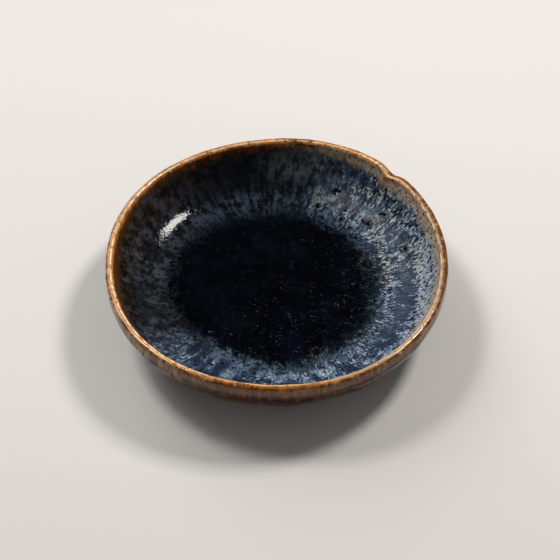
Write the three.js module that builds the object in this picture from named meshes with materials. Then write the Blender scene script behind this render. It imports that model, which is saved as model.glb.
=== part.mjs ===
// A small round stoneware dish, shaped by hand: facets are cut with a knife round the outside wall,
// a thumb has pressed one place of the lip, and blue glaze has run down inside and pooled on the floor.
// Millimetres, +Z up. The origin is on the dish's axis, in the plane that the foot stands on.

import * as THREE from 'three';

// The clay bowl
const RIM_DIAMETER = 110; // across the glazed lip, before the swells of a hand-made outline
const HEIGHT = 25; // from the table to the top of the lip
const LIP_THICKNESS = 2.2; // clay at the lip, which is rounded over
const FLOOR_DIAMETER = 69; // flat of the clay floor inside
const FLOOR_THICKNESS = 4.6; // clay between that floor and the underside
const INSIDE_FULLNESS = 1.85; // 2 curves the wall as an ellipse, and more makes it fuller
const OUTSIDE_FULLNESS = 2.05;

// The foot ring
const FOOT_DIAMETER = 66;
const FOOT_WIDTH = 5.5; // at the top, where it is stuck on
const FOOT_HEIGHT = 5;
const FOOT_TAPER = 0.8; // how far each side draws in on its way down
const FOOT_LEDGE = 3; // flat of the underside that shows outside the foot

// The coats of glaze
const RIM_GLAZE = 0.35; // thin, because glaze runs off a lip
const OUTSIDE_GLAZE = 0.5;
const POOL_DEPTH = 1.1; // the inside coat thickens to this on its way down
const POOL_MARGIN = 4.5; // from the edge of the flat floor in to the edge of the pool
const RIM_BAND_INSIDE = 1.6; // how far below the rounding of the lip the amber band ends
const RIM_BAND_OUTSIDE = 2.2;
const BARE_CLAY = 2.4; // height of unglazed wall above the underside
const OUTSIDE_RUN = 6; // height below the lip over which the outside coat comes to its full thickness

// The marks of the hand
const FACET_COUNT = 16;
const FACET_TURN = 5.6; // degrees from +X to the first ridge between facets
const FACET_DEPTH = 0.8; // how deep the knife cuts midway between two ridges
const FACET_FADE = 7; // height over which the cut dies away towards the lip and the foot
const NOTCH_ANGLE = 44.5; // degrees from +X towards +Y
const NOTCH_DEPTH = 1.3; // how far the lip is pressed inwards there
const NOTCH_DIP = 1.1; // and how far down
const NOTCH_WIDTH = 3.6; // from its middle to where little of it is left
const NOTCH_REACH = 11; // height of wall that it bends
const SWELLS = [
  // lobes round the outline, height of each in millimetres, degrees to the first
  { lobes: 2, height: 0.3, turn: 40 },
  { lobes: 3, height: 0.25, turn: -54 },
  { lobes: 4, height: 0.35, turn: -39 },
  { lobes: 5, height: 0.2, turn: 0 },
];

// Fineness of the mesh
const COLUMNS_PER_FACET = 4;
const BARE_STEPS = 2;
const WALL_STEPS = 7;
const BAND_STEPS = 1;
const LIP_STEPS = 6;

const radians = THREE.MathUtils.degToRad;
const rimRadius = RIM_DIAMETER / 2;
const footRadius = FOOT_DIAMETER / 2;
const quarterTurn = Math.PI / 2;

// The section of the clay bowl, as a wall between an outside and an inside curve

const clayRim = rimRadius - RIM_GLAZE;
const lipRounding = LIP_THICKNESS / 2;
const shoulder = HEIGHT - RIM_GLAZE - lipRounding; // where the wall ends and the lip rounds over
const clayFloor = FOOT_HEIGHT + FLOOR_THICKNESS;
const outside = {
  base: new THREE.Vector2(footRadius + FOOT_LEDGE, FOOT_HEIGHT),
  top: new THREE.Vector2(clayRim, shoulder),
  fullness: OUTSIDE_FULLNESS,
};
const inside = {
  base: new THREE.Vector2(FLOOR_DIAMETER / 2, clayFloor),
  top: new THREE.Vector2(clayRim - LIP_THICKNESS, shoulder),
  fullness: INSIDE_FULLNESS,
};

function wallPoint(wall, angle) {
  const reach = wall.top.x - wall.base.x;
  const rise = wall.top.y - wall.base.y;
  const power = 2 / wall.fullness;
  const radius = wall.base.x + reach * Math.sin(angle) ** power;
  const height = wall.top.y - rise * Math.cos(angle) ** power;
  return new THREE.Vector2(radius, height);
}

function wallAngleAt(wall, height) {
  const share = (wall.top.y - height) / (wall.top.y - wall.base.y);
  return Math.acos(share ** (wall.fullness / 2));
}

// Points along a wall from one angle to the next, without the last one
function wallPoints(wall, from, to, steps) {
  const points = [];
  for (let step = 0; step < steps; step += 1) {
    points.push(wallPoint(wall, from + ((to - from) * step) / steps));
  }
  return points;
}

function lipPoints() {
  const middle = clayRim - lipRounding;
  const points = [];
  for (let step = 0; step < LIP_STEPS; step += 1) {
    const angle = (Math.PI * step) / LIP_STEPS;
    const radius = middle + lipRounding * Math.cos(angle);
    points.push(new THREE.Vector2(radius, shoulder + lipRounding * Math.sin(angle)));
  }
  return points;
}

// One line over the clay: up the outside, round the lip, down the inside and in to the axis

const glazeLine = wallAngleAt(outside, FOOT_HEIGHT + BARE_CLAY);
const outsideBand = wallAngleAt(outside, shoulder - RIM_BAND_OUTSIDE);
const insideBand = wallAngleAt(inside, shoulder - RIM_BAND_INSIDE);
const poolRadius = FLOOR_DIAMETER / 2 - POOL_MARGIN;

const underside = [
  new THREE.Vector2(0, FOOT_HEIGHT),
  ...wallPoints(outside, 0, glazeLine, BARE_STEPS),
];
const outsideClay = wallPoints(outside, glazeLine, outsideBand, WALL_STEPS);
const rimClay = [
  ...wallPoints(outside, outsideBand, quarterTurn, BAND_STEPS),
  ...lipPoints(),
  ...wallPoints(inside, quarterTurn, insideBand, BAND_STEPS),
];
const insideClay = [...wallPoints(inside, insideBand, 0, WALL_STEPS), inside.base];
const poolClay = [new THREE.Vector2(poolRadius, clayFloor), new THREE.Vector2(0, clayFloor)];
const clay = [...outsideClay, ...rimClay, ...insideClay, ...poolClay];

// Each coat runs from its first point to the first point of the next, so that their ends meet
const rimStart = outsideClay.length;
const insideStart = rimStart + rimClay.length;
const poolStart = insideStart + insideClay.length;
const floorStart = poolStart - 1; // the edge of the flat floor
const crest = rimStart + BAND_STEPS + LIP_STEPS / 2;

// Glaze lies on the clay at right angles to it, thin at the lip and thicker on its way down.
// What has run onto the floor lies level.

function coatThickness(index) {
  const fall = shoulder - clay[index].y;
  const [coat, run] = index < crest ? [OUTSIDE_GLAZE, OUTSIDE_RUN] : [POOL_DEPTH, shoulder - clayFloor];
  return THREE.MathUtils.lerp(RIM_GLAZE, coat, THREE.MathUtils.smoothstep(fall, 0, run));
}

function glazePoint(index) {
  if (index >= floorStart) return clay[index].clone().setY(clayFloor + POOL_DEPTH);
  const before = clay[Math.max(index - 1, 0)];
  const after = clay[Math.min(index + 1, clay.length - 1)];
  const along = after.clone().sub(before).normalize();
  const out = new THREE.Vector2(along.y, -along.x);
  return clay[index].clone().addScaledVector(out, coatThickness(index));
}

const glaze = clay.map((point, index) => glazePoint(index));

// The knife only reaches the outside, and the cut dies away towards the lip and the foot

function knifeReach(index) {
  if (index > rimStart) return 0;
  const { y: height } = clay[index];
  const belowLip = THREE.MathUtils.smoothstep(shoulder - RIM_BAND_OUTSIDE - height, 0, FACET_FADE);
  const aboveFoot = THREE.MathUtils.smoothstep(height - FOOT_HEIGHT, 0, FACET_FADE);
  return belowLip * aboveFoot;
}

const plain = (point) => ({ point, cut: 0 });
const cutBy = (points) => (index) => ({ point: points[index], cut: knifeReach(index) });
const range = (from, to) => Array.from({ length: to - from + 1 }, (unused, step) => from + step);

// Profiles, each running with the piece on its left as it turns about the axis

function coatProfile(first, last) {
  const along = range(first, last);
  const back = [...along].reverse();
  const loop = [...along.map(cutBy(glaze)), ...back.map(cutBy(clay))];
  return [...loop, loop[0]];
}

const axisEnd = clay.length - 1;
const bodyProfile = [...underside.map(plain), ...range(0, axisEnd).map(cutBy(clay))];
const poolProfile = [
  ...range(poolStart, axisEnd).reverse().map(cutBy(clay)),
  ...range(poolStart, axisEnd).map(cutBy(glaze)),
];
const footTop = { inner: footRadius - FOOT_WIDTH, outer: footRadius };
const footProfile = [
  new THREE.Vector2(footTop.inner + FOOT_TAPER, 0),
  new THREE.Vector2(footTop.outer - FOOT_TAPER, 0),
  new THREE.Vector2(footTop.outer, FOOT_HEIGHT),
  new THREE.Vector2(footTop.inner, FOOT_HEIGHT),
  new THREE.Vector2(footTop.inner + FOOT_TAPER, 0),
].map(plain);

// The hand-made shape: swells of the outline, the facets, and the pressed place in the lip

function swellAt(angle) {
  const waves = SWELLS.map(({ lobes, height, turn }) => height * Math.cos(lobes * (angle - radians(turn))));
  return waves.reduce((total, wave) => total + wave, 0);
}

function facetAt(angle) {
  const pitch = (2 * Math.PI) / FACET_COUNT;
  const place = THREE.MathUtils.euclideanModulo((angle - radians(FACET_TURN)) / pitch, 1);
  return FACET_DEPTH * (1 - (2 * place - 1) ** 2);
}

function notchAt(angle, height) {
  const turn = Math.atan2(Math.sin(angle - radians(NOTCH_ANGLE)), Math.cos(angle - radians(NOTCH_ANGLE)));
  const aside = (turn * rimRadius) / NOTCH_WIDTH;
  const rise = THREE.MathUtils.clamp(1 - (HEIGHT - height) / NOTCH_REACH, 0, 1);
  return Math.exp(-aside * aside) * rise * rise;
}

function shapeByHand(geometry, profile) {
  const { position } = geometry.attributes;
  for (let index = 0; index < position.count; index += 1) {
    const height = position.getZ(index);
    const angle = Math.atan2(position.getY(index), position.getX(index));
    const radius = Math.hypot(position.getX(index), position.getY(index));
    const lift = THREE.MathUtils.clamp((height - FOOT_HEIGHT) / (HEIGHT - FOOT_HEIGHT), 0, 1);
    const notch = notchAt(angle, height);
    const swell = 1 + (lift * swellAt(angle)) / rimRadius;
    const shaped = radius * swell - profile[index % profile.length].cut * facetAt(angle);
    const pressed = Math.max(shaped - NOTCH_DEPTH * notch, 0);
    const lowered = height - NOTCH_DIP * notch;
    position.setXYZ(index, pressed * Math.cos(angle), pressed * Math.sin(angle), lowered);
  }
}

// Coats that touch have the same triangles there, although their profiles run opposite ways,
// because each four-sided face is split along its shorter diagonal.
function splitFaces(geometry) {
  const { position } = geometry.attributes;
  const corner = (index) => new THREE.Vector3().fromBufferAttribute(position, index);
  const given = geometry.index.array;
  const perFace = 6; // two triangles
  const faces = [];
  for (let start = 0; start < given.length; start += perFace) {
    const [a, b, d, c] = given.subarray(start, start + 4);
    const across = corner(a).distanceToSquared(corner(c));
    const other = corner(b).distanceToSquared(corner(d));
    faces.push(...(across < other ? [a, b, c, a, c, d] : [a, b, d, c, d, b]));
  }
  geometry.setIndex(faces);
}

function turned(profile) {
  const points = profile.map(({ point }) => point);
  const columns = FACET_COUNT * COLUMNS_PER_FACET;
  const firstColumn = radians(FACET_TURN) + quarterTurn;
  const geometry = new THREE.LatheGeometry(points, columns, firstColumn);
  geometry.rotateX(quarterTurn);
  shapeByHand(geometry, profile);
  splitFaces(geometry);
  geometry.computeVertexNormals();
  return geometry;
}

const fired = (color, roughness) => new THREE.MeshStandardMaterial({ color, roughness, metalness: 0 });

const pieces = [
  { name: 'stoneware_body', profile: bodyProfile, material: fired(0x9a7756, 0.85) },
  { name: 'foot_ring', profile: footProfile, material: fired(0x8f6c4c, 0.9) },
  { name: 'outside_glaze', profile: coatProfile(0, rimStart), material: fired(0x74451f, 0.15) },
  { name: 'rim_glaze', profile: coatProfile(rimStart, insideStart), material: fired(0x9a6434, 0.15) },
  { name: 'inside_glaze', profile: coatProfile(insideStart, poolStart), material: fired(0x4c6282, 0.12) },
  { name: 'glaze_pool', profile: poolProfile, material: fired(0x0a1424, 0.08) },
];

const dish = new THREE.Group();
for (const { name, profile, material } of pieces) {
  const piece = new THREE.Mesh(turned(profile), material);
  piece.name = name;
  dish.add(piece);
}

export default dish;
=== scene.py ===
# A small hand-shaped stoneware dish in its bare clay and its run glazes, in the part's own frame.
import math
from collections import namedtuple

import bmesh
import bpy
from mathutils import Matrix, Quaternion, Vector, noise


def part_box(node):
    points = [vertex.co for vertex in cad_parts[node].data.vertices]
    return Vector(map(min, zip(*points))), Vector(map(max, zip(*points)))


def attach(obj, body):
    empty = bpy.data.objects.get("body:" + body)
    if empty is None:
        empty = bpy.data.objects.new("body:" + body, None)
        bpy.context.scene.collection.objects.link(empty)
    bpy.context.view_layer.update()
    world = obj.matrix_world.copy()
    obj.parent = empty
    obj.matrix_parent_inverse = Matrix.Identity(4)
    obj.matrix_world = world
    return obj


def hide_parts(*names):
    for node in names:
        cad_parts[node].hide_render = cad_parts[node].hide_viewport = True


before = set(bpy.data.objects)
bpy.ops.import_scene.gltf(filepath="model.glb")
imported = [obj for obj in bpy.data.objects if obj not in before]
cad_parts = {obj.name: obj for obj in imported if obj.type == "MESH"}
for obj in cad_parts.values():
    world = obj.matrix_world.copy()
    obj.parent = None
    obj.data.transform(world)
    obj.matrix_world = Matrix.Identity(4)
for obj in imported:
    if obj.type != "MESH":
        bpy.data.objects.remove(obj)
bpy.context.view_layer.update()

# The stoneware bowl: buff clay shaped by hand over a low hump and fired. While it was leather hard
# a knife cut facets round its outside, and a thumb pressed one place of the lip inwards.
# Glaze hides all of it but the underside and a strip of wall above the foot.
MM = 0.001
RIM_RADIUS = 55 * MM
LIP_THICKNESS = 2.2 * MM
LIP_COAT = 0.35 * MM
FLOOR_RADIUS = 34.5 * MM
INSIDE_FULLNESS = 1.85
OUTSIDE_FULLNESS = 2.05
FOOT_LEDGE = 3 * MM
FOOT_WIDTH = 5.5 * MM
BAND_INSIDE = 1.6 * MM
BAND_OUTSIDE = 2.2 * MM

lip_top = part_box("rim_glaze")[1].z
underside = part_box("stoneware_body")[0].z
glaze_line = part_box("outside_glaze")[0].z
clay_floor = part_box("glaze_pool")[0].z
pool_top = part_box("glaze_pool")[1].z
pool_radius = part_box("glaze_pool")[1].x
foot_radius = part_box("foot_ring")[1].x
lip_rounding = LIP_THICKNESS / 2
shoulder = lip_top - LIP_COAT - lip_rounding
clay_rim = RIM_RADIUS - LIP_COAT

Wall = namedtuple("Wall", "base top fullness")
outside_wall = Wall(
    Vector((foot_radius + FOOT_LEDGE, underside)), Vector((clay_rim, shoulder)), OUTSIDE_FULLNESS
)
inside_wall = Wall(
    Vector((FLOOR_RADIUS, clay_floor)), Vector((clay_rim - LIP_THICKNESS, shoulder)), INSIDE_FULLNESS
)


def wall_point(wall, angle):
    """A point of the wall's section as (radius, height): its base at 0, its top at a quarter turn."""
    power = 2 / wall.fullness
    spread = wall.top - wall.base
    reach = spread.x * math.sin(angle) ** power
    drop = spread.y * max(math.cos(angle), 0) ** power
    return Vector((wall.base.x + reach, wall.top.y - drop))


def wall_angle(wall, height):
    share = (wall.top.y - height) / (wall.top.y - wall.base.y)
    return math.acos(share ** (wall.fullness / 2))


def wall_points(wall, start, end, steps):
    return [wall_point(wall, start + (end - start) * step / steps) for step in range(steps)]


def lip_points(steps):
    middle = Vector((clay_rim - lip_rounding, shoulder))
    angles = [math.pi * step / steps for step in range(steps)]
    return [middle + lip_rounding * Vector((math.cos(angle), math.sin(angle))) for angle in angles]


def straight(start, end, steps):
    return [start.lerp(end, step / steps) for step in range(steps)]


# The clay under the glaze: up the outside, round the lip, down the inside and in to the axis
WALL_TOP = math.pi / 2
BEAD_ZONE = 3 * MM
line_angle = wall_angle(outside_wall, glaze_line)
bead_angle = wall_angle(outside_wall, glaze_line + BEAD_ZONE)
outside_band = wall_angle(outside_wall, shoulder - BAND_OUTSIDE)
inside_band = wall_angle(inside_wall, shoulder - BAND_INSIDE)
pool_edge = Vector((pool_radius, clay_floor))
floor_middle = Vector((0, clay_floor))
outside_clay = (
    wall_points(outside_wall, line_angle, bead_angle, steps=16)
    + wall_points(outside_wall, bead_angle, outside_band, steps=40)
)
lip_rise = wall_points(outside_wall, outside_band, WALL_TOP, steps=6)
lip_round = lip_points(steps=16)
lip_fall = wall_points(inside_wall, WALL_TOP, inside_band, steps=5)
wall_fall = wall_points(inside_wall, inside_band, 0, steps=60)
floor_flat = straight(inside_wall.base, pool_edge, steps=10)
pool_clay = straight(pool_edge, floor_middle, steps=48) + [floor_middle]
covered_clay = outside_clay + lip_rise + lip_round + lip_fall + wall_fall + floor_flat + pool_clay

lip_first = len(outside_clay)
crest = lip_first + len(lip_rise) + len(lip_round) // 2
inside_first = lip_first + len(lip_rise + lip_round + lip_fall)
floor_first = inside_first + len(wall_fall)
pool_first = floor_first + len(floor_flat)

# What the hand and the knife did to the turned form
FACETS = 16
FACET_TURN = math.radians(5.6)
FACET_DEPTH = 0.8 * MM
FACET_FADE = 7 * MM
FACET_PACE = 1.7
FACET_SEED = 0.4
KNIFE_FIRMNESS = 0.78
FIRMNESS_SPREAD = 0.22
WANDER_TURN = 0.035
WANDER_HEIGHT = 12 * MM
WANDER_PACE = 2.5
NOTCH_ANGLE = math.radians(44.5)
NOTCH_DEPTH = 1.3 * MM
NOTCH_DIP = 1.1 * MM
NOTCH_WIDTH = 3.6 * MM
NOTCH_REACH = 11 * MM
SWELLS = [
    # lobes round the outline, height of each, degrees to the first
    (2, 0.30 * MM, 40),
    (3, 0.25 * MM, -54),
    (4, 0.35 * MM, -39),
    (5, 0.20 * MM, 0),
]


def smooth(value, low, high):
    share = min(max((value - low) / (high - low), 0), 1)
    return share * share * (3 - 2 * share)


def knife_reach(height):
    """How fully the knife cut the outside at a height, none by the lip and the foot."""
    below_lip = smooth(shoulder - BAND_OUTSIDE - height, 0, FACET_FADE)
    return below_lip * smooth(height - underside, 0, FACET_FADE)


def swell_at(angle):
    return sum(height * math.cos(lobes * (angle - math.radians(turn))) for lobes, height, turn in SWELLS)


def facet_place(angle):
    """The number of an angle's facet, and where it lies in it, from 0 at one ridge to 1 at the next."""
    turn = ((angle - FACET_TURN) / (2 * math.pi / FACETS)) % FACETS
    return int(turn), turn % 1


def facet_hollow(angle):
    """How deep the knife went; no two facets are cut alike."""
    facet, place = facet_place(angle)
    chance = noise.noise(Vector((FACET_PACE * facet, FACET_SEED, 0)))
    firmness = KNIFE_FIRMNESS + FIRMNESS_SPREAD * chance
    return FACET_DEPTH * firmness * (1 - (2 * place - 1) ** 2)


def wandering(angle, height):
    """A small turn of the knife to one side or the other as it came down."""
    place = Vector((math.cos(angle), math.sin(angle), height / WANDER_HEIGHT))
    return WANDER_TURN * noise.noise(place * WANDER_PACE)


def notch_aside(angle):
    """The signed distance along the lip from the pressed place."""
    turn = angle - NOTCH_ANGLE
    return math.atan2(math.sin(turn), math.cos(turn)) * RIM_RADIUS


def notch_at(angle, height):
    aside = notch_aside(angle) / NOTCH_WIDTH
    rise = min(max(1 - (lip_top - height) / NOTCH_REACH, 0), 1)
    return math.exp(-aside * aside) * rise * rise


def shaped(angle, radius, height, cut):
    """Where the hand and the knife leave a point of the turned form."""
    lift = min(max((height - underside) / (lip_top - underside), 0), 1)
    notch = notch_at(angle, height)
    hollow = facet_hollow(angle + wandering(angle, height))
    swelled = radius * (1 + lift * swell_at(angle) / RIM_RADIUS)
    pressed = max(swelled - cut * hollow - NOTCH_DEPTH * notch, 0)
    return Vector((pressed * math.cos(angle), pressed * math.sin(angle), height - NOTCH_DIP * notch))


# A ring of a turned piece: place in the section, the ways along and out of it, the glaze's run in mm
# from the lip's crest (below 0 outside), the knife's share, and 1 on an open face of glaze
Ring = namedtuple("Ring", "place along out run cut skin")


def clay_rings(points, cut_count):
    """Rings of bare or covered clay; the first cut_count of them are within the knife's reach."""
    still = Vector((0, 0))
    rings = []
    for number, point in enumerate(points):
        cut = knife_reach(point.y) if number < cut_count else 0
        rings.append(Ring(point, still, still, 0, cut, 0))
    return rings


def turned(rings, closed, coarse_columns, cuts):
    """Spins a section of rings about the axis, and keeps each corner's ring number in a layer."""
    mesh = bmesh.new()
    ring_number = mesh.verts.layers.float.new("ring")
    start = Vector((math.cos(FACET_TURN), math.sin(FACET_TURN), 0))
    corners = []
    for number, ring in enumerate(rings):
        corner = mesh.verts.new(start * ring.place.x + Vector((0, 0, ring.place.y)))
        corner[ring_number] = number
        corners.append(corner)
    ends = corners[1:] + corners[:1] if closed else corners[1:]
    edges = [mesh.edges.new(pair) for pair in zip(corners, ends)]
    bmesh.ops.spin(
        mesh, geom=corners + edges, cent=(0, 0, 0), axis=(0, 0, 1), angle=2 * math.pi,
        steps=coarse_columns, use_merge=True,
    )
    bmesh.ops.remove_doubles(mesh, verts=mesh.verts, dist=1e-7)
    for edge in [edge for edge in mesh.edges if not edge.link_faces]:
        mesh.edges.remove(edge)
    hoops = [edge for edge in mesh.edges if edge.verts[0][ring_number] == edge.verts[1][ring_number]]
    bmesh.ops.subdivide_edges(mesh, edges=hoops, cuts=cuts, use_grid_fill=True)
    bmesh.ops.recalc_face_normals(mesh, faces=mesh.faces)
    return mesh, ring_number


SHARP_CORNER = math.radians(40)


def finished(name, mesh, material):
    """The piece's object, smooth but for its sharp corners."""
    for face in mesh.faces:
        face.smooth = True
    for edge in mesh.edges:
        edge.smooth = edge.calc_face_angle(0) < SHARP_CORNER
    data = bpy.data.meshes.new(name)
    mesh.to_mesh(data)
    mesh.free()
    data.materials.append(material)
    piece = bpy.data.objects.new(name, data)
    bpy.context.scene.collection.objects.link(piece)
    return piece


# The underside inside the foot, where a tool cut a spiral as the dish turned upside down on the wheel
TRIM_PITCH = 2.3 * MM
TRIM_DEPTH = 0.14 * MM
CLAY_COLUMNS = 64
CLAY_CUTS = 2

recess_radius = foot_radius - FOOT_WIDTH
recess_edge = Vector((recess_radius, underside))


def trim_spiral(angle, radius):
    wave = 0.5 - 0.5 * math.cos(2 * math.pi * radius / TRIM_PITCH - angle)
    fading = smooth(radius, 0, TRIM_PITCH) * smooth(recess_radius - radius, 0, TRIM_PITCH)
    return TRIM_DEPTH * wave * fading


bare_clay = (
    straight(Vector((0, underside)), recess_edge, steps=80)
    + straight(recess_edge, outside_wall.base, steps=4)
    + wall_points(outside_wall, 0, line_angle, steps=8)
)
bowl_rings = clay_rings(bare_clay + covered_clay, len(bare_clay) + crest)
bowl_mesh, bowl_layer = turned(bowl_rings, False, CLAY_COLUMNS, CLAY_CUTS)
for corner in bowl_mesh.verts:
    ring = bowl_rings[round(corner[bowl_layer])]
    corner_angle = math.atan2(corner.co.y, corner.co.x)
    height = ring.place.y
    if height == underside and ring.place.x < recess_radius:
        height += trim_spiral(corner_angle, ring.place.x)
    corner.co = shaped(corner_angle, ring.place.x, height, ring.cut)
bowl_mesh.verts.layers.float.remove(bowl_layer)


def add_node(tree, kind, inputs, **settings):
    """A shader node; an input that is a socket is linked, and any other value is set."""
    node = tree.nodes.new("ShaderNode" + kind)
    for name, value in settings.items():
        setattr(node, name, value)
    for key, value in inputs.items():
        if isinstance(value, bpy.types.NodeSocket):
            tree.links.new(value, node.inputs[key])
        else:
            node.inputs[key].default_value = value
    return node


def new_group(name, inputs, outputs):
    """A node group with named sockets; gives the group, what comes in and what goes out."""
    group = bpy.data.node_groups.new(name, "ShaderNodeTree")
    for socket_name, kind in inputs.items():
        group.interface.new_socket(socket_name, in_out="INPUT", socket_type="NodeSocket" + kind)
    for socket_name, kind in outputs.items():
        group.interface.new_socket(socket_name, in_out="OUTPUT", socket_type="NodeSocket" + kind)
    entry = group.nodes.new("NodeGroupInput")
    result = group.nodes.new("NodeGroupOutput")
    return group, entry.outputs, result.inputs


def new_material(name):
    material = bpy.data.materials.new(name)
    material.use_nodes = True
    return material, material.node_tree, material.node_tree.nodes["Principled BSDF"].inputs


def tree_of(values):
    """The node tree of the sockets among some values."""
    return next(value.id_data for value in values if isinstance(value, bpy.types.NodeSocket))


def use_group(group, **inputs):
    return add_node(tree_of(inputs.values()), "Group", inputs, node_tree=group).outputs


def give(results, **values):
    """Hands values to sockets by their names."""
    for name, value in values.items():
        value.id_data.links.new(value, results[name])


def sums(operation, *values):
    """One step of arithmetic on numbers."""
    return add_node(tree_of(values), "Math", dict(enumerate(values)), operation=operation).outputs[0]


def vectors(operation, *values):
    """One step of arithmetic on vectors."""
    node = add_node(tree_of(values), "VectorMath", dict(enumerate(values)), operation=operation)
    return node.outputs["Vector"]


def measure(operation, *values):
    """A number taken from vectors, such as their distance."""
    node = add_node(tree_of(values), "VectorMath", dict(enumerate(values)), operation=operation)
    return node.outputs["Value"]


def times(*values):
    product = values[0]
    for value in values[1:]:
        product = sums("MULTIPLY", product, value)
    return product


def raised(start, *pairs):
    """A number plus each value times its weight."""
    total = start
    for value, weight in pairs:
        total = sums("MULTIPLY_ADD", value, weight, total)
    return total


def fade(value, nothing, full):
    """0 where the value is at or before nothing, 1 at or past full, and smooth between them."""
    inputs = {"Value": value, "From Min": nothing, "From Max": full}
    return add_node(value.id_data, "MapRange", inputs, interpolation_type="SMOOTHSTEP").outputs[0]


def between(value, start, full, fading, end):
    """1 from full to fading, and 0 before start and past end."""
    return times(fade(value, start, full), fade(value, end, fading))


def mixed(share, first, second):
    """A colour between two."""
    return add_node(share.id_data, "Mix", {0: share, 6: first, 7: second}, data_type="RGBA").outputs[2]


def cloudy(place, scale, detail, roughness=0.5):
    """Noise from 0 to 1, with about scale patches to a unit of place."""
    inputs = {"Vector": place, "Scale": scale, "Detail": detail, "Roughness": roughness}
    return add_node(place.id_data, "TexNoise", inputs).outputs[0]


def cells(place, scale, dimensions="3D"):
    """Scattered spots: the distance from the nearest one, and three random numbers that it was given."""
    tree = place.id_data
    inputs = {"Vector": place, "Scale": scale}
    spots = add_node(tree, "TexVoronoi", inputs, voronoi_dimensions=dimensions).outputs
    return spots["Distance"], add_node(tree, "SeparateColor", {0: spots["Color"]}).outputs


def in_mm(place):
    return vectors("MULTIPLY", place, (1000, 1000, 1000))


def level_way(place):
    """The level way from the dish's axis to a place."""
    return vectors("NORMALIZE", vectors("MULTIPLY", place, (1, 1, 0)))


def colour(red, green, blue):
    return (red, green, blue, 1)


# Bare fired clay: toasted in patches, speckled with iron, with a sandy tooth
CLAY_REFRACTION = 1.5
LOOK_SOCKETS = {"Color": "Color", "Roughness": "Float", "Relief": "Float"}
clay_look, clay_in, clay_out = new_group("bare_clay_look", {"Place": "Vector"}, LOOK_SOCKETS)
clay_place = in_mm(clay_in["Place"])
toasting = fade(cloudy(clay_place, 0.09, 3), 0.36, 0.64)
sand = cloudy(clay_place, 2.6, 4, 0.65)
clay_colour = mixed(toasting, colour(0.40, 0.25, 0.135), colour(0.27, 0.135, 0.06))
clay_colour = mixed(fade(sand, 0.62, 0.30), clay_colour, colour(0.17, 0.085, 0.04))
iron_cells = add_node(clay_look, "TexVoronoi", {"Vector": clay_place, "Scale": 0.62})
iron = fade(iron_cells.outputs["Distance"], 0.17, 0.08)
clay_colour = mixed(iron, clay_colour, colour(0.035, 0.016, 0.009))
give(clay_out, Color=clay_colour, Roughness=raised(0.68, (sand, 0.25)), Relief=times(sand, 0.12))


def dressed(name, look_group, refraction, *attributes):
    """A material that wears a look, which also reads the named attributes of the piece's corners."""
    material, tree, shader = new_material(name)
    inputs = {"Place": add_node(tree, "TexCoord", {}).outputs["Object"]}
    for attribute in attributes:
        node = add_node(tree, "Attribute", {}, attribute_name=attribute)
        inputs[attribute.capitalize()] = node.outputs["Fac"]
    look = use_group(look_group, **inputs)
    bump = add_node(tree, "Bump", {"Distance": MM, "Height": look["Relief"]})
    tree.links.new(look["Color"], shader["Base Color"])
    give(shader, Roughness=look["Roughness"], Normal=bump.outputs["Normal"])
    shader["IOR"].default_value = refraction
    return material


bowl = finished("stoneware_bowl", bowl_mesh, dressed("buff_stoneware", clay_look, CLAY_REFRACTION))
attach(bowl, "root")
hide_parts("stoneware_body")

# The foot ring: a coil of the same clay, luted under the bowl and trimmed with a tool on the wheel.
# It is left bare, so that the dish doesn't stick to the kiln shelf, and the edge it stands on is worn.
FOOT_TAPER = 0.8 * MM
FOOT_EDGE = 0.7 * MM
TOOL_LINES = 0.07 * MM
TOOL_PITCH = 1.4 * MM
FOOT_WOBBLE = 0.15 * MM
WOBBLE_HEIGHT = 9 * MM
WOBBLE_PACE = 2
STANDING_CORNER = 1.0

foot_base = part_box("foot_ring")[0].z
outer_top = Vector((foot_radius, underside))
outer_base = Vector((foot_radius - FOOT_TAPER, foot_base))
inner_base = Vector((recess_radius + FOOT_TAPER, foot_base))


def tool_marks(angle, height):
    """Lines that the trimming tool left on the foot's sides, and the wobble of the hand that held it."""
    lines = TOOL_LINES * math.sin(2 * math.pi * height / TOOL_PITCH + 2 * angle)
    way = Vector((math.cos(angle), math.sin(angle), height / WOBBLE_HEIGHT))
    wobble = FOOT_WOBBLE * noise.noise(way * WOBBLE_PACE)
    return lines * smooth(height, FOOT_EDGE, 2 * FOOT_EDGE) + wobble


foot_section = (
    straight(outer_top, outer_base, steps=18)
    + straight(outer_base, inner_base, steps=4)
    + straight(inner_base, recess_edge, steps=18)
    + [recess_edge]
)
foot_rings = clay_rings(foot_section, 0)
foot_mesh, foot_layer = turned(foot_rings, True, CLAY_COLUMNS, CLAY_CUTS)
for corner in foot_mesh.verts:
    ring = foot_rings[round(corner[foot_layer])]
    corner_angle = math.atan2(corner.co.y, corner.co.x)
    radius = ring.place.x + tool_marks(corner_angle, ring.place.y)
    corner.co = shaped(corner_angle, radius, ring.place.y, 0)
foot_mesh.verts.layers.float.remove(foot_layer)
standing_edges = [
    edge for edge in foot_mesh.edges
    if edge.calc_face_angle(0) > STANDING_CORNER
    and max(end.co.z for end in edge.verts) < foot_base + FOOT_EDGE
]
bmesh.ops.bevel(
    foot_mesh, geom=standing_edges, offset=FOOT_EDGE, offset_type="OFFSET", affect="EDGES", segments=4,
    profile=0.5, material=-1,
)
foot = finished("trimmed_foot", foot_mesh, dressed("toasted_foot_clay", clay_look, CLAY_REFRACTION))
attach(foot, "root")
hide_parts("foot_ring")

# The blue glaze inside: poured in, swirled round and tipped out, then run downhill in the fire.
# It streaks over the wall, thins to brown under the lip and breaks up at the edge of the pool.
OUTSIDE_COAT = 0.5 * MM
OUTSIDE_RUN = 6 * MM
BACK_STEP = 4


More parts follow.
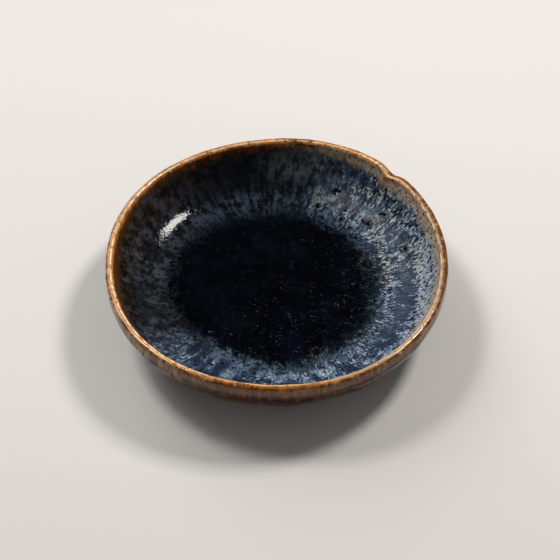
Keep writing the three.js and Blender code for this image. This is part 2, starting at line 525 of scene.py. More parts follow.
def coat_at(number):
    """The glaze's thickness over a point of the covered clay: thin at the lip, thicker downhill."""
    fall = shoulder - covered_clay[number].y
    if number < crest:
        return LIP_COAT + (OUTSIDE_COAT - LIP_COAT) * smooth(fall, 0, OUTSIDE_RUN)
    return LIP_COAT + (pool_top - clay_floor - LIP_COAT) * smooth(fall, 0, shoulder - clay_floor)


# How far each point of the covered clay lies downhill from the lip's crest, in mm, and below 0 outside
steps_down = [(after - before).length / MM for before, after in zip(covered_clay, covered_clay[1:])]
runs_down = [sum(steps_down[:number]) - sum(steps_down[:crest]) for number in range(len(covered_clay))]
line_run = runs_down[0]


def glaze_rings(first, last):
    """The closed section of a coat of glaze: its open face, and back along the clay."""
    face = []
    back = []
    for number in range(first, last + 1):
        point = covered_clay[number]
        before = covered_clay[max(number - 1, 0)]
        after = covered_clay[min(number + 1, len(covered_clay) - 1)]
        along = (after - before).normalized()
        out = Vector((0, 1)) if number >= floor_first else Vector((along.y, -along.x))
        cut = knife_reach(point.y) if number < crest else 0
        face.append(Ring(point + out * coat_at(number), along, out, runs_down[number], cut, 1))
        if number in (first, last) or number % BACK_STEP == 0:
            back.append(Ring(point, along, out, runs_down[number], cut, 0))
    return face + back[::-1]


# How uneven the melted glaze lies; starts and ends are runs in mm
RIPPLE = 0.05 * MM
RIPPLE_LENGTH = 7 * MM
LIP_LUMPS = 0.15 * MM
LUMP_LENGTH = 9 * MM
LUMP_SINK = 1.25
LIP_REACH = (1.5, 6)
OUTSIDE_RUNS = 0.12 * MM
RUN_WIDTH = 5 * MM
RUN_LENGTH = 30 * MM
LINE_WAVE = 1.1 * MM
WAVE_PACE = 2.4
SMALL_WAVE_PACE = 7
WAVE_END = (2, 8)
BEAD_HEIGHT = 0.4 * MM
BEAD_MIDDLE = 0.9
BEAD_BLUNT = 0.1
CREASE_ASIDE = 1.2 * MM
CREASE_WIDTH = 0.8 * MM
CREASE_RIDGE = 0.45 * MM
CREASE_HOLLOW = 0.14 * MM
CREASE_START = (0.6, 2.2)
CREASE_END = (5, 9)
HOLLOW_ASIDE = 2.6 * MM
HOLLOW_WIDTH = 1.3 * MM
NOTCH_FILL = 0.35
FILL_START = (0, 1.5)
GRIP_ANGLE = math.radians(-140)
GRIP_LUMPS = 0.6 * MM
GRIP_LENGTH = 6 * MM
GRIP_LIFT = 0.35
GRIP_SIDE = (0.75, 0.95)
GRIP_START = (0.5, 2.5)
GRIP_END = (9, 15)
WEAR_WIDTH = 0.16
WORN_CREASE = 0.9 * MM
WORN_START = (0, 2)
WORN_END = (5, 7.5)
GLAZE_COLUMNS = 80
GLAZE_CUTS = 7


def hump(distance, width):
    return math.exp(-((distance / width) ** 2))


# The pits that stand out: bubbles that broke through the melted glaze and left ragged holes in it
PIT_DEPTH = 0.25 * MM
Pit = namedtuple("Pit", "degrees run width")
PITS = [
    # plan angle, run down from the lip and width, both in mm
    Pit(62.8, 16.0, 1.6),
    Pit(38.2, 15.0, 1.5),
    Pit(42.8, 20.5, 1.2),
    Pit(39.7, 20.0, 1.5),
    Pit(17.0, 16.3, 1.8),
    Pit(68.1, 23.0, 1.4),
    Pit(52.7, 24.8, 1.2),
    Pit(4.0, 28.2, 1.2),
    Pit(16.1, 30.1, 2.4),
    Pit(-66.6, 29.8, 1.7),
    Pit(133.2, 18.3, 1.1),
]


def pits_at(angle, ring):
    """How far the pits sink the glaze at a place of the inside wall."""
    depth = 0
    for pit in PITS:
        below = (ring.run - pit.run) * MM
        if abs(below) < pit.width * MM:
            turn = angle - math.radians(pit.degrees)
            aside = math.atan2(math.sin(turn), math.cos(turn)) * ring.place.x
            depth += PIT_DEPTH * hump(math.hypot(aside, below), pit.width * MM / 2)
    return depth


def crease_at(angle, run):
    """A ridge of glaze caught in the crease under the pressed place, between two hollows."""
    aside = notch_aside(angle) - CREASE_ASIDE
    ridge = CREASE_RIDGE * hump(aside, CREASE_WIDTH)
    hollows = CREASE_HOLLOW * hump(abs(aside) - HOLLOW_ASIDE, HOLLOW_WIDTH)
    return (ridge - hollows) * smooth(run, *CREASE_START) * (1 - smooth(run, *CREASE_END))


def grip_lumps(angle, ring, place):
    """Lumps that the potter's grip left under the lip at the front left."""
    nearness = smooth(math.cos(angle - GRIP_ANGLE), *GRIP_SIDE)
    height = smooth(-ring.run, *GRIP_START) * (1 - smooth(-ring.run, *GRIP_END))
    lump = max(noise.noise(place / GRIP_LENGTH) + GRIP_LIFT, 0) ** 2
    return GRIP_LUMPS * lump * nearness * height


def bead_at(ring):
    """The coat's end outside is rolled into a bead, and rounded off at the glaze line."""
    above = ring.run - line_run
    roll = BEAD_HEIGHT * hump(above - BEAD_MIDDLE, BEAD_MIDDLE)
    rounding = 1 - math.sqrt(max(1 - max(1 - above / BEAD_MIDDLE, 0) ** 2, BEAD_BLUNT))
    return roll - (OUTSIDE_COAT + roll) * rounding


def uneven_glaze(angle, ring):
    """How far the melted glaze lies above or below its even coat."""
    around = Vector((math.cos(angle), math.sin(angle), 0))
    place = around * ring.place.x + Vector((0, 0, ring.place.y))
    ripple = RIPPLE * noise.noise(place / RIPPLE_LENGTH)
    lumps = noise.noise(place / LUMP_LENGTH) + 0.5 * noise.noise(place * 3 / LUMP_LENGTH)
    lumps = LIP_LUMPS * (lumps - LUMP_SINK)
    on_lip = 1 - smooth(abs(ring.run), *LIP_REACH)
    change = ripple + (lumps - ripple) * on_lip
    if ring.run > 0:
        return change + crease_at(angle, ring.run) - pits_at(angle, ring)
    down = Vector((0, 0, ring.place.y / RUN_LENGTH))
    runs = OUTSIDE_RUNS * noise.noise(around * RIM_RADIUS / RUN_WIDTH + down)
    filling = NOTCH_FILL * NOTCH_DEPTH * notch_at(angle, ring.place.y) * smooth(-ring.run, *FILL_START)
    return change + runs * (1 - on_lip) + filling + grip_lumps(angle, ring, place) + bead_at(ring)


def line_wave(angle, ring):
    """How far the glaze line outside strays up or down the wall."""
    around = Vector((math.cos(angle), math.sin(angle), 0))
    wave = noise.noise(around * WAVE_PACE) + 0.5 * noise.noise(around * SMALL_WAVE_PACE)
    return LINE_WAVE * wave * (1 - smooth(ring.run - line_run, *WAVE_END))


def thin_glaze(angle, ring):
    """1 where the glaze breaks thin, on the ridges between facets and along the crease."""
    place = facet_place(angle + wandering(angle, ring.place.y))[1]
    ridge = ring.cut * (1 - smooth(min(place, 1 - place), 0, WEAR_WIDTH))
    crease = hump(notch_aside(angle) - CREASE_ASIDE, WORN_CREASE)
    crease *= smooth(ring.run, *WORN_START) * (1 - smooth(ring.run, *WORN_END))
    return max(ridge, crease)


def coat_of_glaze(name, first, last, material):
    """A finished coat of glaze over covered clay, with its run and thin places for the material."""
    rings = glaze_rings(first, last)
    mesh, ring_number = turned(rings, True, GLAZE_COLUMNS, GLAZE_CUTS)
    run_layer = mesh.verts.layers.float.new("run")
    thin_layer = mesh.verts.layers.float.new("thin")
    for corner in mesh.verts:
        ring = rings[round(corner[ring_number])]
        angle = math.atan2(corner.co.y, corner.co.x)
        place = ring.place + ring.along * line_wave(angle, ring)
        place += ring.out * uneven_glaze(angle, ring) * ring.skin
        corner.co = shaped(angle, place.x, place.y, ring.cut)
        corner[run_layer] = ring.run
        corner[thin_layer] = thin_glaze(angle, ring)
    mesh.verts.layers.float.remove(mesh.verts.layers.float["ring"])
    piece = finished(name, mesh, material)
    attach(piece, "root")
    return piece


# Amber: the glaze where it is thin over the clay, honey to brown, with cream patches, more of them on the
# two sides and the left as a painted highlight, and dark iron freckles
amber_look, amber_in, amber_out = new_group(
    "thin_amber_look", {"Place": "Vector"}, {"Color": "Color", "Freckles": "Float"}
)
amber_place = in_mm(amber_in["Place"])
amber_around = level_way(amber_place)
side_highlight = measure("LENGTH", vectors("MULTIPLY", amber_around, (1, 0, 0)))
honey = fade(cloudy(amber_place, 0.20, 3, 0.6), 0.36, 0.60)
amber_colour = mixed(honey, colour(0.15, 0.046, 0.010), colour(0.40, 0.158, 0.038))
# Cream patches lean to the two sides and to the left: real cream patches with a painted highlight added
# over them
left_highlight = fade(measure("DOT_PRODUCT", amber_around, (-1, 0, 0)), 0.2, 1.0)
cream_and_highlight_noise = raised(cloudy(amber_place, 0.34, 3, 0.6), (side_highlight, 0.10), (left_highlight, 0.08))
cream_and_highlight = fade(cream_and_highlight_noise, 0.52, 0.74)
amber_colour = mixed(cream_and_highlight, amber_colour, colour(0.52, 0.325, 0.160))
scorch = fade(cloudy(amber_place, 0.42, 4, 0.65), 0.46, 0.33)
amber_colour = mixed(scorch, amber_colour, colour(0.075, 0.022, 0.006))
freckle_distance, freckle_choice = cells(amber_place, 0.95)
freckle_reach = times(fade(freckle_choice[0], 0.35, 1.0), 0.36)
freckles = fade(sums("SUBTRACT", freckle_reach, freckle_distance), -0.04, 0.06)
amber_colour = mixed(times(freckles, 0.85), amber_colour, colour(0.030, 0.010, 0.004))
give(amber_out, Color=amber_colour, Freckles=freckles)

# Streaks: noise drawn out down the wall, in broad runs, short dashes, thin strokes and fine flecks,
# and crumbs, clumps and clouds that aren't drawn out
STREAK_RADIUS = 45
streak_look, streak_in, streak_out = new_group(
    "run_streaks", {"Place": "Vector", "Run": "Float"},
    {
        "Around": "Vector", "Runs": "Float", "Dashes": "Float", "Strokes": "Float", "Flecks": "Float",
        "Crumbs": "Float", "Clumps": "Float", "Clouds": "Float",
    },
)
streak_place = in_mm(streak_in["Place"])
streak_around = level_way(streak_place)
streak_ring = vectors("MULTIPLY", streak_around, (STREAK_RADIUS,) * 3)


def downhill(stretch):
    """Place on the wall, with the way downhill drawn out by a share of its length."""
    height = times(streak_in["Run"], stretch)
    drop = add_node(streak_look, "CombineXYZ", {"Z": height}).outputs[0]
    return vectors("ADD", streak_ring, drop)


stroke_middle = sums("ABSOLUTE", sums("SUBTRACT", cloudy(downhill(0.60), 0.62, 2), 0.5))
give(
    streak_out,
    Around=streak_around,
    Runs=cloudy(downhill(0.20), 0.60, 3, 0.6),
    Dashes=cloudy(downhill(0.34), 1.15, 3, 0.65),
    Strokes=fade(stroke_middle, 0.085, 0.015),
    Flecks=cloudy(downhill(0.50), 1.50, 2, 0.6),
    Crumbs=cloudy(streak_place, 0.85, 3, 0.65),
    Clumps=cloudy(streak_place, 0.36, 2),
    Clouds=cloudy(streak_place, 0.10, 3),
)

# A pit: a bubble that broke through the glaze and left a ragged dark hole in a pale ring
pit_look, pit_in, pit_out = new_group(
    "glaze_pit", {"Place": "Vector", "Spot": "Vector", "Width": "Float"},
    {"Dark": "Float", "Halo": "Float"},
)
pit_distance = times(measure("DISTANCE", pit_in["Place"], pit_in["Spot"]), 1000)
pit_share = sums("DIVIDE", pit_distance, pit_in["Width"])
ragged = cloudy(in_mm(pit_in["Place"]), 1.8, 2)
pit_share = raised(pit_share, (ragged, 0.9))
give(pit_out, Dark=fade(pit_share, 1.36, 1.16), Halo=between(pit_share, 1.26, 1.44, 1.52, 2.00))

# The inside from lip to pool: amber, tan or rust, streaked blue, a pale broken ring, a teal fringe
# and black glass
GLAZE_SOCKETS = {"Place": "Vector", "Run": "Float", "Thin": "Float"}
inside_look, inside_in, inside_out = new_group("inside_glaze_look", GLAZE_SOCKETS, LOOK_SOCKETS)
inside_run = inside_in["Run"]
streaks = use_group(streak_look, Place=inside_in["Place"], Run=inside_run)
amber = use_group(amber_look, Place=inside_in["Place"])
inside_mm = in_mm(inside_in["Place"])


def faces(degrees):
    """1 on the side of the dish at that plan angle, -1 on the far side."""
    way = (math.cos(math.radians(degrees)), math.sin(math.radians(degrees)), 0)
    return measure("DOT_PRODUCT", streaks["Around"], way)


def side(degrees, nothing, full):
    """A share that comes in towards the side of the dish at that plan angle."""
    return fade(faces(degrees), nothing, full)


def streaked(start, **weights):
    """A number plus the named streaks' distances from one half, each times its weight."""
    pairs = [(sums("SUBTRACT", streaks[kind], 0.5), weight) for kind, weight in weights.items()]
    return raised(start, *pairs)


# The wall's ground: slate-blue runs on one side, and thin brown-black glass on the other
crystal_side = fade(streaked(faces(-35), Clouds=0.9), -0.55, 0.25)
ground_share = streaked(0.5, Runs=1.5, Clumps=0.9)
left_side = side(160, 0.50, 0.92)
back_side = side(90, 0.30, 0.95)
front_side = side(-80, 0.40, 0.92)
patches = cloudy(inside_mm, 0.19, 2)
front_patches = times(front_side, sums("SUBTRACT", patches, 0.5))
ground_share = fade(raised(ground_share, (front_patches, 2.6)), 0.26, 0.74)
back_runs = times(back_side, sums("SUBTRACT", streaks["Runs"], 0.5))
dark_share = streaked(0.5, Clumps=1.2, Crumbs=0.7, Runs=0.3)
dark_share = fade(raised(dark_share, (back_runs, 1.6)), 0.24, 0.76)
brown_ground = mixed(dark_share, colour(0.008, 0.005, 0.003), colour(0.038, 0.023, 0.014))
black_ground = mixed(dark_share, colour(0.003, 0.004, 0.005), colour(0.014, 0.017, 0.023))
brown_share = times(left_side, fade(inside_run, 17, 6))
left_ground = mixed(dark_share, colour(0.004, 0.005, 0.007), colour(0.015, 0.017, 0.022))
left_wide = side(-175, 0.3, 0.9)
left_lower = times(left_wide, fade(inside_run, 9, 18))
dark_ground = mixed(left_lower, black_ground, left_ground)
dark_ground = mixed(brown_share, dark_ground, brown_ground)
slate_ground = mixed(ground_share, colour(0.008, 0.018, 0.045), colour(0.044, 0.080, 0.140))
front_wash = times(front_side, fade(patches, 0.42, 0.62), 0.6)
slate_ground = mixed(front_wash, slate_ground, colour(0.070, 0.112, 0.180))
grey_share = times(between(inside_run, 2, 5, 11, 18), side(66, 0.80, 0.98))
grey_ground = mixed(dark_share, colour(0.007, 0.008, 0.009), colour(0.042, 0.045, 0.047))
upper_back = times(back_side, fade(inside_run, 24, 15))
dark_ground = mixed(times(upper_back, 0.75), dark_ground, colour(0.002, 0.0025, 0.004))
dark_ground = mixed(grey_share, dark_ground, grey_ground)
wall_colour = mixed(crystal_side, dark_ground, slate_ground)

# Crystals: pale broken strokes that crowd together above the pool, bluish or cream, with white tips that
# are painted sparkle highlights; on the dark side only faint clumps of them
ring_zone = between(inside_run, 15, 21, 25, 29)
upper_zone = times(between(inside_run, 2, 6, 10, 16), side(-8, 0.66, 0.98))
deep_band = times(between(inside_run, 13, 17, 20, 23), side(-14, 0.84, 0.98))
wall_colour = mixed(times(deep_band, 0.45), wall_colour, colour(0.013, 0.032, 0.086))
back_right = side(60, 0.60, 1.0)
front_middle = side(-100, 0.70, 0.97)
front_left = side(-142, 0.75, 0.98)
crowding = raised(
    0.24, (ring_zone, 0.07), (upper_zone, 0.31), (back_right, -0.08), (front_side, -0.02),
    (front_middle, -0.09), (front_left, -0.10), (deep_band, -0.20),
)
crowding = streaked(crowding, Clouds=0.6)
fine_share = streaked(crowding, Dashes=1.9, Crumbs=1.0, Clumps=0.8, Runs=1.1)
front_clumps = times(front_side, sums("SUBTRACT", streaks["Clumps"], 0.5))
front_dashes = times(front_side, sums("SUBTRACT", streaks["Dashes"], 0.5))
fine_share = raised(fine_share, (front_clumps, 1.2), (front_patches, 2.2), (front_dashes, -0.8))
fine_share = fade(fine_share, 0.27, 0.55)
stroke_room = fade(streaked(crowding, Flecks=1.6, Clumps=1.2), 0.26, 0.50)
fine_share = sums("MAXIMUM", fine_share, times(streaks["Strokes"], stroke_room))
soft_share = streaked(crowding, Flecks=0.9, Clumps=1.7, Crumbs=1.2)
left_patches = times(left_wide, sums("SUBTRACT", patches, 0.5))
soft_share = raised(soft_share, (back_runs, 2.0), (left_patches, 1.6))
soft_share = times(fade(soft_share, 0.05, 1.05), fade(upper_back, 1.2, 0.0))
crystal_share = raised(soft_share, (sums("SUBTRACT", fine_share, soft_share), crystal_side))
cream_share = times(fade(streaks["Clouds"], 0.44, 0.62), side(40, 0.0, 0.9))
crystal_colour = mixed(cream_share, colour(0.184, 0.250, 0.339), colour(0.299, 0.316, 0.282))
crystal_colour = mixed(times(upper_zone, 0.8), crystal_colour, colour(0.275, 0.330, 0.400))
faint_colour = mixed(back_side, colour(0.058, 0.065, 0.083), colour(0.032, 0.047, 0.078))
crystal_colour = mixed(times(front_middle, 0.85), crystal_colour, colour(0.110, 0.155, 0.215))
crystal_colour = mixed(crystal_side, faint_colour, crystal_colour)
wall_colour = mixed(crystal_share, wall_colour, crystal_colour)
# White tips on the crystals: painted sparkle highlights in place of glints off the crystals
painted_sparkles = times(fade(streaks["Flecks"], 0.55, 0.66), crystal_side, crystal_share)
wall_colour = mixed(painted_sparkles, wall_colour, colour(0.48, 0.54, 0.58))
gap_flecks = raised(streaks["Flecks"], (front_side, 0.035))
gaps = times(fade(gap_flecks, 0.48, 0.40), crystal_side)
wall_colour = mixed(gaps, wall_colour, colour(0.004, 0.007, 0.014))

# Under the lip it thins: to freckled tan on the pale side, and to rust that soon darkens on the other
thin_run = streaked(inside_run, Runs=5, Clumps=4)
tan = mixed(fade(streaks["Clumps"], 0.40, 0.62), colour(0.50, 0.330, 0.195), colour(0.50, 0.435, 0.330))
tan = mixed(times(fade(streaks["Dashes"], 0.52, 0.64), 0.5), tan, colour(0.62, 0.53, 0.41))
tan = mixed(times(fade(streaks["Flecks"], 0.48, 0.38), 0.7), tan, colour(0.085, 0.062, 0.048))
tan = mixed(times(amber["Freckles"], 0.85), tan, colour(0.035, 0.018, 0.012))
rust = mixed(fade(thin_run, 2.0, 5.0), colour(0.210, 0.054, 0.005), colour(0.024, 0.009, 0.002))
rust = mixed(times(left_side, 0.4), rust, colour(0.105, 0.034, 0.006))
left_gold = side(-155, 0.80, 0.98)
rust = mixed(times(left_gold, 0.45), rust, colour(0.190, 0.068, 0.015))
tan_side = fade(streaked(faces(5), Clumps=0.5), -0.05, 0.60)
thin_colour = mixed(tan_side, rust, tan)
front_right = side(-45, 0.75, 0.98)
thin_left = raised(thin_run, (side(110, 0.3, 0.9), 2.0), (left_gold, -0.8), (front_right, -1.8))
wall_colour = mixed(fade(thin_left, 7.4, 3.2), wall_colour, thin_colour)

# Amber on the lip itself and down the crease
amber_run = streaked(inside_run, Runs=2.5, Clumps=2)
back_left = side(135, 0.60, 0.95)
amber_end = raised(2.5, (tan_side, -1.2), (back_left, -1.0))
amber_left = sums("SUBTRACT", amber_run, amber_end)
amber_share = sums("MAXIMUM", fade(amber_left, 0.7, -0.7), inside_in["Thin"])
wall_colour = mixed(amber_share, wall_colour, amber["Color"])
wall_colour = mixed(times(inside_in["Thin"], 0.75), wall_colour, colour(0.42, 0.21, 0.03))

# The colour of pits: a scatter of small ones, and the few that stand out in their own places
SCATTER = 0.60
scatter_distance, scatter_choice = cells(inside_mm, SCATTER)
scatter_reach = times(fade(scatter_choice[0], 0.50, 1.0), 0.50 * SCATTER)
scatter_inside = sums("SUBTRACT", scatter_reach, scatter_distance)
dark_pits = times(fade(scatter_inside, -0.03, 0.04), fade(crystal_side, 0.1, 0.7))
pale_halos = 0.0
inside_rings = [ring for ring in glaze_rings(inside_first, pool_first) if ring.skin]
for pit in PITS:
    ring = min(inside_rings, key=lambda ring: abs(ring.run - pit.run))
    spot = shaped(math.radians(pit.degrees), ring.place.x, ring.place.y, 0)
    marks = use_group(pit_look, Place=inside_in["Place"], Spot=spot, Width=pit.width)
    dark_pits = sums("MAXIMUM", dark_pits, marks["Dark"])
    pale_halos = sums("MAXIMUM", pale_halos, marks["Halo"])

# Where it pools: black glass with faint blue depths and a few scattered light specks
pool_run = streaked(inside_run, Runs=2, Dashes=5, Crumbs=15, Clumps=14, Clouds=9)
pool_run = raised(pool_run, (left_side, 1.0), (back_side, -1.6), (side(-62, 0.55, 0.95), 1.6))
pool_share = fade(pool_run, 25.2, 29.2)
depths = fade(streaks["Clouds"], 0.42, 0.70)
pool_colour = mixed(depths, colour(0.0005, 0.0007, 0.0014), colour(0.0013, 0.0023, 0.0056))
wisps = fade(cloudy(inside_mm, 0.50, 4, 0.7), 0.52, 0.76)
pool_colour = mixed(times(wisps, 0.32), pool_colour, colour(0.010, 0.015, 0.025))
SPECK_SCALE = 0.50
speck_place = vectors("MULTIPLY", inside_mm, (1, 1, 0))
speck_distance, speck_choice = cells(speck_place, SPECK_SCALE, "2D")
speck_size = times(fade(speck_choice[0], 0.55, 1.0), 0.26 * SPECK_SCALE)
speck_reach = times(speck_size, fade(streaks["Crumbs"], 0.38, 0.62))
to_specks = measure("DOT_PRODUCT", inside_mm, (0.7, -0.7, 0))
clusters = raised(cloudy(inside_mm, 0.15, 2), (to_specks, 0.006))
speck_inside = sums("SUBTRACT", speck_reach, speck_distance)
specks = times(fade(speck_inside, -0.02, 0.04), fade(speck_choice[1], 0.15, 1.0))
dust = fade(cloudy(inside_mm, 0.90, 3, 0.7), 0.61, 0.73)
specks = times(sums("MAXIMUM", specks, times(dust, 0.8)), fade(clusters, 0.50, 0.66))
pool_colour = mixed(specks, pool_colour, colour(0.075, 0.095, 0.125))
inside_colour = mixed(pool_share, wall_colour, pool_colour)
fringe_side = sums("MAXIMUM", crystal_side, times(back_side, 0.5))
fringe_run = raised(pool_run, (side(-25, 0.3, 0.9), -1.6))
mottled = streaked(0.5, Crumbs=1.2, Flecks=0.8, Clumps=0.8)
mottled = fade(mottled, 0.34, 0.66)
fringe = times(between(fringe_run, 24.2, 27.0, 28.2, 32.2), fringe_side, mottled, 0.85)
inside_colour = mixed(fringe, inside_colour, colour(0.010, 0.024, 0.034))
halo_share = raised(0.9, (pool_share, -0.65))
halos = times(pale_halos, fade(streaks["Flecks"], 0.47, 0.62), halo_share)
inside_colour = mixed(halos, inside_colour, colour(0.14, 0.15, 0.15))
inside_colour = mixed(dark_pits, inside_colour, colour(0.0025, 0.003, 0.005))

# Crystals make the glaze satin; bare glass and the pool are glossy, with a faint orange peel
glass_share = sums("SUBTRACT", 1.0, pool_share)
satin = times(crystal_side, raised(0.50, (crystal_share, 0.22)), fade(gaps, 1.25, 0.0), glass_share)
inside_rough = times(sums("ADD", satin, 0.06), fade(dark_pits, 1.2, 0.0))
wrinkles = raised(cloudy(inside_mm, 1.1, 2, 0.6), (streaks["Flecks"], 0.8))
wrinkles = times(wrinkles, crystal_side, glass_share)
orange_peel = times(cloudy(inside_mm, 0.9, 2), 0.050)
inside_relief = raised(orange_peel, (wrinkles, 0.11), (dark_pits, -0.12))
give(inside_out, Color=inside_colour, Roughness=inside_rough, Relief=inside_relief)

BLUE_REFRACTION = 1.25
blue_material = dressed("streaked_blue", inside_look, BLUE_REFRACTION, "run", "thin")
inside = coat_of_glaze("blue_glaze", inside_first, pool_first, blue_material)
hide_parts("inside_glaze")

# The pool: glaze that ran off the wall and gathered on the floor, so thick that it is near-black glass.
# It covers the middle of the floor and is the same glaze as on the wall, so it wears the same look.
POOL_REFRACTION = 1.33
pool_material = dressed("pooled_black_blue", inside_look, POOL_REFRACTION, "run", "thin")
pool = coat_of_glaze("pooled_glaze", pool_first, len(covered_clay) - 1, pool_material)
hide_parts("glaze_pool")

# The amber glaze outside: the dish was dipped by its foot, so the coat ends in a line above it.
# It breaks paler on the ridges between facets, and pale runs of the inside glaze come over the lip, laid
# on as a painted highlight at the front left.
outside_look, outside_in, outside_out = new_group("outside_glaze_look", GLAZE_SOCKETS, LOOK_SOCKETS)
outside_run = outside_in["Run"]
outside_streaks = use_group(streak_look, Place=outside_in["Place"], Run=outside_run)
outside_amber = use_group(amber_look, Place=outside_in["Place"])

# Under the lip it is orange-brown; deeper down it is thick and dark, brown to near black in runs, the
# darkness partly painted shade, and it breaks to honey on the ridges
thick_run = raised(outside_run, (outside_streaks["Runs"], 7))
edge_dashes = fade(outside_streaks["Dashes"], 0.40, 0.62)
edge_colour = mixed(edge_dashes, colour(0.070, 0.020, 0.002), colour(0.190, 0.064, 0.010))
edge_share = fade(thick_run, 3.9, 1.6)
outside_colour = mixed(edge_share, outside_amber["Color"], edge_colour)
thick_runs = fade(outside_streaks["Runs"], 0.38, 0.62)
thick_and_shade_colour = mixed(thick_runs, colour(0.012, 0.0034, 0.0007), colour(0.066, 0.019, 0.003))
# Thick glaze and painted shade: the outside darkens to near black down the wall
thick_and_shade_share = fade(thick_run, 1.0, -3.0)
outside_colour = mixed(thick_and_shade_share, outside_colour, thick_and_shade_colour)
ridge_breaks = fade(outside_streaks["Dashes"], 0.34, 0.70)
ridge_wear = times(outside_in["Thin"], ridge_breaks)
outside_colour = mixed(ridge_wear, outside_colour, colour(0.13, 0.045, 0.009))

# Pale cream runs of the inside glaze come over the lip here and there, and more fully at the front left
# as a painted highlight on the glossy outside
FRONT_LEFT = (-0.82, -0.57, 0)
run_share = fade(outside_streaks["Runs"], 0.44, 0.60)
run_zone = between(outside_run, -0.8, -2.2, -4, -8)
front_left_highlight = fade(measure("DOT_PRODUCT", outside_streaks["Around"], FRONT_LEFT), 0.84, 0.97)
run_clouds = times(fade(outside_streaks["Clouds"], 0.56, 0.68), 0.35)
# At the front left the pale runs are a painted highlight, not only glaze
pale_runs_and_highlight = times(run_share, run_zone, sums("MAXIMUM", front_left_highlight, run_clouds))
outside_colour = mixed(times(pale_runs_and_highlight, 0.85), outside_colour, colour(0.40, 0.230, 0.112))
outside_rough = raised(0.05, (outside_streaks["Flecks"], 0.10), (pale_runs_and_highlight, 0.18))
outside_peel = times(cloudy(in_mm(outside_in["Place"]), 0.8, 2), 0.022)
outside_relief = raised(outside_peel, (outside_streaks["Runs"], 0.02))
give(outside_out, Color=outside_colour, Roughness=outside_rough, Relief=outside_relief)

AMBER_REFRACTION = 1.22
amber_material = dressed("outside_amber", outside_look, AMBER_REFRACTION, "run", "thin")
outside = coat_of_glaze("amber_glaze", 0, lip_first, amber_material)
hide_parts("outside_glaze")

# The glaze on the lip: both coats meet there, drain off the edge and leave a thin amber film.
# It is gold along the crest, with a pale painted highlight line along it, and cream at the front right.
lip_look, lip_in, lip_out = new_group("lip_glaze_look", GLAZE_SOCKETS, LOOK_SOCKETS)
LEFT_LIP = (-0.93, -0.36, 0)
RIGHT_LIP = (0.98, 0.17, 0)
FRONT_RIGHT_LIP = (0.71, -0.71, 0)
lip_mm = in_mm(lip_in["Place"])
lip_around = level_way(lip_mm)
to_left = fade(measure("DOT_PRODUCT", lip_around, LEFT_LIP), 0.45, 0.95)
to_right = fade(measure("DOT_PRODUCT", lip_around, RIGHT_LIP), 0.70, 0.96)

# On the right the brown of the outer side reaches over the crest
outer_run = raised(lip_in["Run"], (to_right, -1.1))
lip_inside = use_group(inside_look, Place=lip_in["Place"], Run=lip_in["Run"], Thin=lip_in["Thin"])
lip_outside = use_group(outside_look, Place=lip_in["Place"], Run=outer_run, Thin=lip_in["Thin"])
lip_colour = mixed(fade(outer_run, -0.6, 0.6), lip_outside["Color"], lip_inside["Color"])

# Gold along the crest, where the film is thinnest, and wider on the left
gold_end = raised(1.5, (to_left, 1.2))
gold_left = sums("SUBTRACT", lip_in["Run"], gold_end)
drained = times(fade(outer_run, -0.9, 0.2), fade(gold_left, 0.3, -0.9))
gold_patches = fade(cloudy(lip_mm, 0.24, 4, 0.65), 0.38, 0.60)
gold_patches = sums("MAXIMUM", gold_patches, times(to_left, 0.7))
drained = times(drained, gold_patches)
gold_grain = fade(cloudy(lip_mm, 0.75, 3, 0.6), 0.40, 0.62)
gold = mixed(gold_grain, colour(0.40, 0.125, 0.016), colour(0.72, 0.31, 0.068))
lip_colour = mixed(times(drained, 0.88), lip_colour, gold)

# Cream at the front right, where the film is thin over pale clay
to_front_right = fade(measure("DOT_PRODUCT", lip_around, FRONT_RIGHT_LIP), 0.78, 0.97)
cream_grain = fade(cloudy(lip_mm, 0.50, 3, 0.6), 0.34, 0.58)
cream_lip = times(to_front_right, fade(lip_in["Run"], -0.6, 0.2), raised(0.50, (cream_grain, 0.40)))
lip_colour = mixed(cream_lip, lip_colour, colour(0.45, 0.345, 0.245))

# A painted highlight: a pale line along the crest on the left, and inside it on the right, in place of
# the lamps' reflection on the glossy lip
highlight_run = raised(lip_in["Run"], (to_right, -0.65))
painted_crest_highlight = between(highlight_run, 0.0, 0.25, 0.50, 0.85)
highlight_sides = sums("MAXIMUM", sums("MAXIMUM", to_left, to_right), 0.5)
highlight_sides = raised(highlight_sides, (to_front_right, -0.4))
highlight_breaks = fade(cloudy(lip_mm, 0.45, 3, 0.6), 0.36, 0.54)
painted_crest_highlight = times(painted_crest_highlight, highlight_sides, highlight_breaks)
lip_colour = mixed(times(painted_crest_highlight, 0.95), lip_colour, colour(0.95, 0.74, 0.48))
lip_spots = use_group(amber_look, Place=lip_in["Place"])["Freckles"]
lip_colour = mixed(times(lip_spots, 0.7), lip_colour, colour(0.060, 0.020, 0.005))
lip_rough = raised(lip_outside["Roughness"], (drained, 0.08))
lip_relief = raised(lip_outside["Relief"], (cloudy(lip_mm, 0.45, 3, 0.6), 0.16))
give(lip_out, Color=lip_colour, Roughness=lip_rough, Relief=lip_relief)

LIP_REFRACTION = 1.52
lip_material = dressed("lip_amber", lip_look, LIP_REFRACTION, "run", "thin")
lip = coat_of_glaze("lip_glaze", lip_first, inside_first, lip_material)
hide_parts("rim_glaze")

# The floor: a plain pale sheet that the dish stands on, past every edge of the view.
FLOOR_SIZE = 3.0
floor_mesh = bmesh.new()
bmesh.ops.create_grid(floor_mesh, x_segments=1, y_segments=1, size=FLOOR_SIZE)
floor_material, _, floor_shader = new_material("pale_floor")
floor_shader["Base Color"].default_value = colour(0.66, 0.65, 0.63)
floor_shader["Roughness"].default_value = 0.8
floor = finished("floor", floor_mesh, floor_material)

# The light: a long soft window behind on the left, a weak fill from the front, two small lamps
# overhead, and a dim room that is paler near the floor.


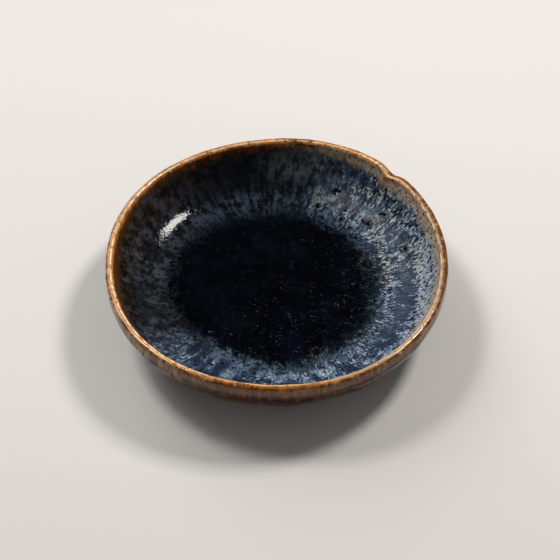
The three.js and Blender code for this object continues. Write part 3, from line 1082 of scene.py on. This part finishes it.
def add_lamp(name, kind, way, energy, distance=1.0):
    """A lamp that shines from the given way onto the dish."""
    lamp = bpy.data.objects.new(name, bpy.data.lights.new(name, kind))
    lamp.data.energy = energy
    lamp.location = Vector(way).normalized() * distance
    lamp.rotation_euler = Vector(way).to_track_quat("Z", "Y").to_euler()
    bpy.context.scene.collection.objects.link(lamp)
    return lamp


def add_panel(name, way, energy, distance, width, height, roll):
    """A flat lamp, turned by roll degrees about the way it shines."""
    panel = add_lamp(name, "AREA", way, energy, distance)
    turn = Quaternion((0, 0, 1), math.radians(roll))
    panel.rotation_euler = (panel.rotation_euler.to_quaternion() @ turn).to_euler()
    panel.data.shape = "RECTANGLE"
    panel.data.size = width
    panel.data.size_y = height
    return panel


LAMP_TINT = (1.0, 0.95, 0.89)
add_panel(
    "window_light", (-0.50, 0.58, 0.64), energy=5.6, distance=1.15, width=1.10, height=0.45, roll=38
)
fill = add_lamp("fill_light", "SUN", (0.25, -0.50, 0.83), energy=0.42)
fill.data.angle = math.radians(90)
fill.visible_glossy = False
right_lamp = add_panel(
    "right_lamp", (0.453, 0.302, 0.839), energy=2.9, distance=0.7, width=0.15, height=0.12, roll=-54
)
left_lamp = add_panel(
    "left_lamp", (-0.41, 0.25, 0.87), energy=1.7, distance=0.7, width=0.15, height=0.14, roll=54
)
for lamp in (right_lamp, left_lamp):
    lamp.data.color = LAMP_TINT

room = bpy.data.worlds.new("room")
room.use_nodes = True
room_tree = room.node_tree
room_way = add_node(room_tree, "TexCoord", {}).outputs["Generated"]
room_height = add_node(room_tree, "SeparateXYZ", {0: room_way}).outputs["Z"]
overhead = fade(room_height, 0.25, 0.62)
room_colour = mixed(overhead, colour(0.10, 0.10, 0.10), colour(0.030, 0.030, 0.033))
give(room_tree.nodes["Background"].inputs, Color=room_colour)
bpy.context.scene.world = room

# The camera: above the front of the dish, looking down on it by about 48 degrees.
CAMERA_PLACE = Vector((0.68, -320.5, 373.07)) * MM
CAMERA_AIM = Vector((1.0, 11.6, -0.75)) * MM
camera = bpy.data.objects.new("camera", bpy.data.cameras.new("camera"))
camera.data.sensor_width = 36
camera.data.lens = 95.5
camera.data.clip_start = 0.01
camera.location = CAMERA_PLACE
camera.rotation_euler = (CAMERA_AIM - CAMERA_PLACE).to_track_quat("-Z", "Y").to_euler()
bpy.context.scene.collection.objects.link(camera)
bpy.context.scene.camera = camera
bpy.context.scene.view_settings.view_transform = "Standard"
